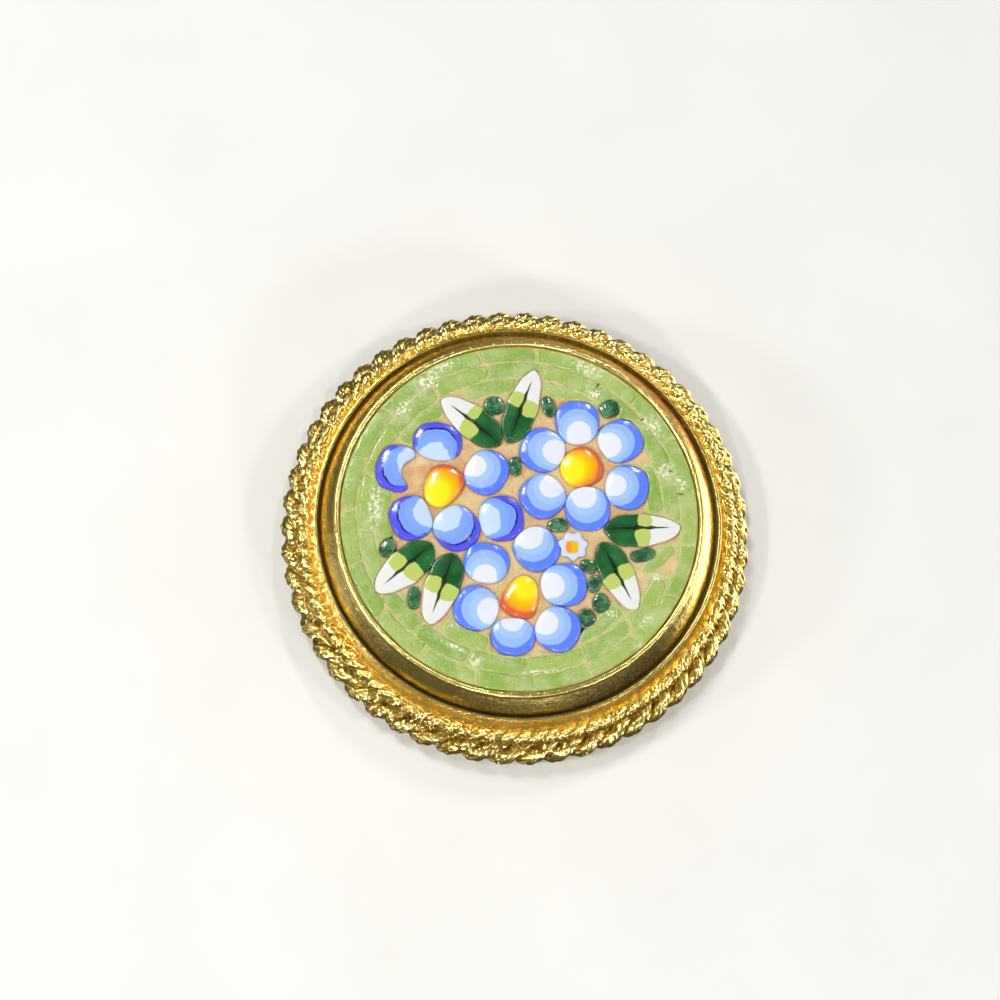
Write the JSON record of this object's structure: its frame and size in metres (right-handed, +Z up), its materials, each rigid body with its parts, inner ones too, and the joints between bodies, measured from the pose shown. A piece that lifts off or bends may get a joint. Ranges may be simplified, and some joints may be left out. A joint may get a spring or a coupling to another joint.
{
  "type": "round micromosaic brooch",
  "caption": "Round domed-bezel brooch with twisted-wire rope borders and a glass mosaic of blue flowers and leaves on green, with a plain pin at the back.",
  "frame": {"origin": "centre of the underside, on the floor plane that the flat foot rests on", "axes": "+Z up out of the mosaic's face, +Y towards the top leaf, +X to the viewer's right"},
  "size_m": [0.03, 0.03, 0.0048],
  "materials": {
    "gilt_brass": "polished gilt brass, worn at the lip",
    "pin_brass": "plain gilt brass wire and strip",
    "grout": "matt tan grout",
    "deep_blue_glass": "opaque cane glass in nested blues with a dark line",
    "blue_glass": "opaque cane glass in nested light blues",
    "yellow_glass": "opaque cane glass from yellow to brick red",
    "leaf_glass": "opaque cane glass, dark green to white with a dark midrib",
    "white_glass": "opaque bluish white glass with a yellow centre",
    "dark_green_glass": "opaque dark green glass",
    "field_glass": "opaque leaf green glass, dusty in places"
  },
  "bodies": {
    "root": {"brooch_pin": "pin_brass", "dark_dots": "dark_green_glass", "green_field": "field_glass", "grout_bed": "grout", "leaf_bottom_left": "leaf_glass", "leaf_lower_left": "leaf_glass", "leaf_lower_right": "leaf_glass", "leaf_right": "leaf_glass", "leaf_top": "leaf_glass", "leaf_top_left": "leaf_glass", "left_flower_centre": "yellow_glass", "left_flower_petal_1": "deep_blue_glass", "left_flower_petal_2": "deep_blue_glass", "left_flower_petal_3": "deep_blue_glass", "left_flower_petal_4": "deep_blue_glass", "left_flower_petal_5": "deep_blue_glass", "left_flower_petal_6": "deep_blue_glass", "lower_flower_centre": "yellow_glass", "lower_flower_petal_1": "blue_glass", "lower_flower_petal_2": "blue_glass", "lower_flower_petal_3": "blue_glass", "lower_flower_petal_4": "blue_glass", "lower_flower_petal_5": "blue_glass", "lower_flower_petal_6": "blue_glass", "setting": "gilt_brass", "small_flower": "white_glass", "upper_flower_centre": "yellow_glass", "upper_flower_petal_1": "blue_glass", "upper_flower_petal_2": "blue_glass", "upper_flower_petal_3": "blue_glass", "upper_flower_petal_4": "blue_glass", "upper_flower_petal_5": "blue_glass", "upper_flower_petal_6": "blue_glass"}
  },
  "joints": []
}
